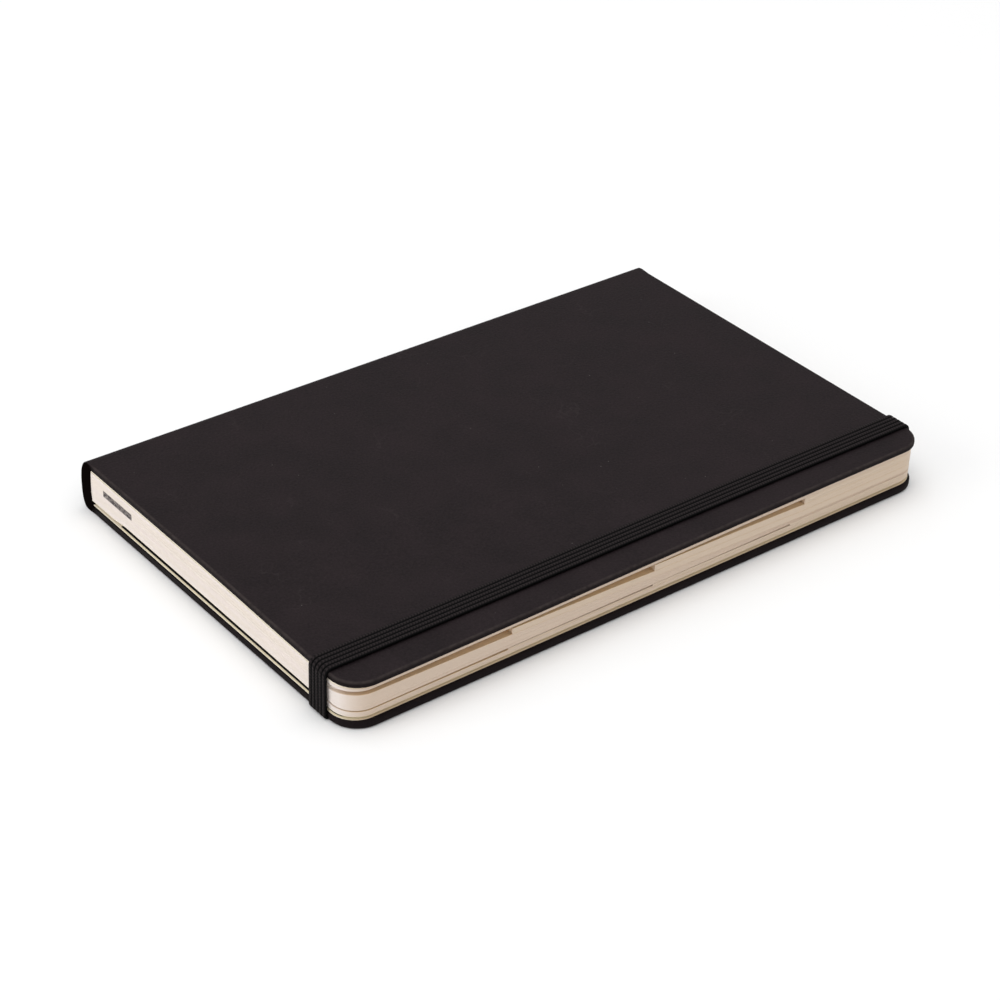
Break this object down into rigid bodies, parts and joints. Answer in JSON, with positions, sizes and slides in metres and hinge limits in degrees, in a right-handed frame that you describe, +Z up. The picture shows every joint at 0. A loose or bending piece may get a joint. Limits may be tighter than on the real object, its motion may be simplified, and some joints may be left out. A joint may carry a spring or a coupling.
{
  "type": "hardcover pocket notebook",
  "caption": "Pocket notebook with rounded hard covers, index-cut leaves, an expanding rear pocket and an elastic closure band.",
  "frame": {"origin": "bottom centre of the shut book's box, on the plane that the rear cover rests on", "axes": "+X from the spine to the fore-edge, +Y from the tail to the head, +Z up from the rear cover to the front cover"},
  "size_m": [0.09, 0.1418, 0.0117],
  "materials": {
    "leatherette": "fine grained, satin black imitation leather",
    "greyboard": "uncoated grey bookbinder's board",
    "endpaper": "uncoated cream endpaper",
    "page_paper": "uncoated cream writing paper",
    "index_paper": "uncoated cream writing paper with a cut index",
    "pocket_card": "thin cream card",
    "black_cloth": "thin black bookcloth",
    "lining_cloth": "open woven spine lining",
    "sewing_thread": "waxed sewing thread",
    "elastic": "ribbed black woven elastic"
  },
  "bodies": {
    "rear_cover": {"rear_covering": "leatherette", "rear_board": "greyboard", "rear_pastedown": "endpaper", "pocket_backing": "pocket_card", "band_anchor_tail": "elastic", "band_anchor_head": "elastic"},
    "pocket_flap": {"pocket_panel": "pocket_card", "pocket_gusset_tail": "black_cloth", "pocket_gusset_head": "black_cloth"},
    "book_block": {"spine_covering": "leatherette", "spine_strip": "greyboard", "spine_lining": "lining_cloth", "sewing_thread_1": "sewing_thread", "sewing_thread_2": "sewing_thread", "sewing_thread_3": "sewing_thread", "sewing_thread_4": "sewing_thread", "sewing_thread_5": "sewing_thread", "rear_flyleaf": "endpaper", "lower_leaves": "page_paper", "index_leaves_4": "index_paper", "index_leaves_5": "index_paper", "index_leaves_6": "index_paper", "middle_leaves": "page_paper"},
    "front_cover": {"front_covering": "leatherette", "front_board": "greyboard", "front_pastedown": "endpaper"},
    "turning_flyleaf": {"front_flyleaf": "endpaper"},
    "turning_upper_leaves": {"upper_leaves": "page_paper"},
    "turning_index_1": {"index_leaves_1": "index_paper"},
    "turning_index_2": {"index_leaves_2": "index_paper"},
    "turning_index_3": {"index_leaves_3": "index_paper"},
    "elastic_band": {"band_front": "elastic", "band_leg_tail": "elastic", "band_leg_head": "elastic"}
  },
  "joints": [
    {"name": "rear_cover_hinge", "type": "hinge", "parent": "rear_cover", "child": "book_block", "pos_m": [-0.0428, 0, 0], "axis": [0, -1, 0], "range_deg": [0, 179.5]},
    {"name": "front_cover_hinge", "type": "hinge", "parent": "book_block", "child": "front_cover", "pos_m": [-0.0428, 0, 0.0109], "axis": [0, -1, 0], "range_deg": [0, 179.5]},
    {"name": "flyleaf_turn", "type": "hinge", "parent": "book_block", "child": "turning_flyleaf", "pos_m": [-0.0428, 0, 0.0109], "axis": [0, -1, 0], "range_deg": [0, 179.14]},
    {"name": "upper_leaves_turn", "type": "hinge", "parent": "book_block", "child": "turning_upper_leaves", "pos_m": [-0.0428, 0, 0.0109], "axis": [0, -1, 0], "range_deg": [0, 178.78]},
    {"name": "index_1_turn", "type": "hinge", "parent": "book_block", "child": "turning_index_1", "pos_m": [-0.0428, 0, 0.0109], "axis": [0, -1, 0], "range_deg": [0, 178.42]},
    {"name": "index_2_turn", "type": "hinge", "parent": "book_block", "child": "turning_index_2", "pos_m": [-0.0428, 0, 0.0109], "axis": [0, -1, 0], "range_deg": [0, 178.06]},
    {"name": "index_3_turn", "type": "hinge", "parent": "book_block", "child": "turning_index_3", "pos_m": [-0.0428, 0, 0.0109], "axis": [0, -1, 0], "range_deg": [0, 177.71]},
    {"name": "pocket_opening", "type": "hinge", "parent": "rear_cover", "child": "pocket_flap", "pos_m": [0.0438, 0, 0.00292], "axis": [0, 1, 0], "range_deg": [0, 14.36], "deforming": ["pocket_gusset_tail", "pocket_gusset_head"]},
    {"name": "elastic_release", "type": "slide", "parent": "rear_cover", "child": "elastic_band", "axis": [0.8, 0, 0.6], "range_m": [0, 0.025], "stiffness_N_per_m": 60, "deforming": ["band_front", "band_leg_tail", "band_leg_head"]}
  ],
  "couplings": [
    {"joint": "flyleaf_turn", "follows": "front_cover_hinge", "ratio": 0.998},
    {"joint": "upper_leaves_turn", "follows": "front_cover_hinge", "ratio": 0.996},
    {"joint": "index_1_turn", "follows": "front_cover_hinge", "ratio": 0.994},
    {"joint": "index_2_turn", "follows": "front_cover_hinge", "ratio": 0.992},
    {"joint": "index_3_turn", "follows": "front_cover_hinge", "ratio": 0.99},
    {"joint": "pocket_opening", "follows": "rear_cover_hinge", "ratio": 0.08}
  ]
}
